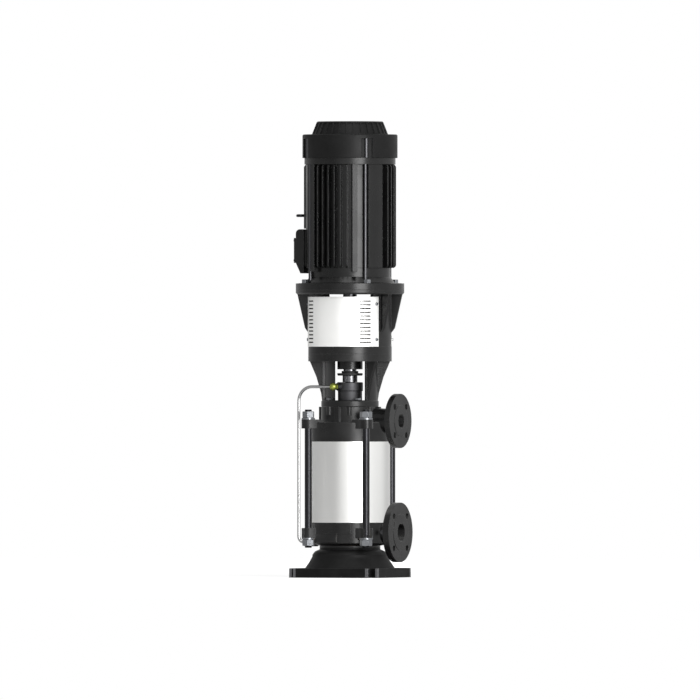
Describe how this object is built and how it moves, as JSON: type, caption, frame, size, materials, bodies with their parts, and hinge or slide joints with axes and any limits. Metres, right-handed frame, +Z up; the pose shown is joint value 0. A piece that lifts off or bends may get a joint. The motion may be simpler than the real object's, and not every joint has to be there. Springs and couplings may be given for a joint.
{
  "type": "vertical multistage pump",
  "caption": "Vertical inline multistage pump with flanged ports, stay rods around a stainless sleeve, an open seal lantern and a finned electric motor on top.",
  "frame": {"origin": "on the shaft axis at the underside of the base plate", "axes": "+Z up along the shaft, +X along both ports and out of their flanges, -Y towards the front coupling guard"},
  "size_m": [0.317, 0.3, 1.261],
  "materials": {
    "bearing_steel": "ground bearing steel",
    "black_paint": "semi-gloss black enamel over cast iron",
    "brass": "oiled brass with dark tarnish",
    "brass_gland": "nickel plated brass",
    "bronze": "turned bronze",
    "brushed_stainless": "brushed stainless sheet",
    "carbon_ring": "lapped carbon and ceramic",
    "cast_gland": "machined grey iron",
    "cast_stainless": "pressed stainless",
    "core_steel": "varnished laminations",
    "coupling_iron": "machined grey iron",
    "fan_plastic": "black moulded plastic",
    "grille_plastic": "satin black paint on pressed steel",
    "machined_steel": "turned steel",
    "polished_stainless": "bright polished stainless tube",
    "rod_steel": "dark bright-drawn steel",
    "rubber": "black nitrile rubber",
    "spider_rubber": "red polyurethane",
    "tube_steel": "drawn stainless tube",
    "zinc_steel": "zinc plated"
  },
  "bodies": {
    "housing": {"base_foot": "black_paint", "bearing_cover": "machined_steel", "bearing_outer_rings": "bearing_steel", "cable_gland": "brass_gland", "coupling_guard_front": "brushed_stainless", "coupling_guard_rear": "brushed_stainless", "discharge_casing": "black_paint", "drive_end_shield": "black_paint", "eye_bolt": "zinc_steel", "fan_cover": "black_paint", "fan_end_shield": "black_paint", "fan_grille": "grille_plastic", "flange_bolts": "zinc_steel", "flush_fittings": "brass", "flush_pipe": "tube_steel", "foot_screws": "zinc_steel", "gland_screws": "zinc_steel", "guard_screws": "zinc_steel", "lantern": "black_paint", "lantern_screws": "zinc_steel", "lid_screws": "zinc_steel", "lower_bush": "bronze", "motor_frame": "black_paint", "motor_stool": "black_paint", "outer_sleeve": "polished_stainless", "plugs": "zinc_steel", "seal_gland": "cast_gland", "seal_seat": "carbon_ring", "sleeve_o_rings": "rubber", "stage_chamber_1": "cast_stainless", "stage_chamber_2": "cast_stainless", "stage_chamber_3": "cast_stainless", "stage_chamber_4": "cast_stainless", "stator": "core_steel", "stay_nuts": "zinc_steel", "stay_rods": "rod_steel", "stay_washers": "zinc_steel", "stool_screws": "zinc_steel", "suction_casing": "black_paint", "terminal_block": "fan_plastic", "terminal_box": "black_paint", "terminal_lid": "black_paint", "tie_rods": "rod_steel"},
    "rotor": {"pump_shaft": "machined_steel", "impeller_1": "cast_stainless", "impeller_2": "cast_stainless", "impeller_3": "cast_stainless", "impeller_4": "cast_stainless", "impeller_spacers": "machined_steel", "seal_ring": "carbon_ring", "flinger": "rubber", "shaft_nut": "machined_steel", "coupling_lower": "coupling_iron", "coupling_upper": "coupling_iron", "coupling_spider": "spider_rubber", "motor_shaft": "machined_steel", "rotor_core": "core_steel", "cooling_fan": "fan_plastic", "bearing_inner_rings": "bearing_steel"},
    "ball_sets": {"bearing_balls": "bearing_steel"}
  },
  "joints": [
    {"name": "rotor_spin", "type": "hinge", "parent": "housing", "child": "rotor", "pos_m": [0, 0, 0], "axis": [0, 0, 1], "continuous": true},
    {"name": "ball_orbit", "type": "hinge", "parent": "housing", "child": "ball_sets", "pos_m": [0, 0, 0], "axis": [0, 0, 1], "continuous": true}
  ],
  "couplings": [
    {"joint": "ball_orbit", "follows": "rotor_spin", "ratio": 0.386}
  ]
}
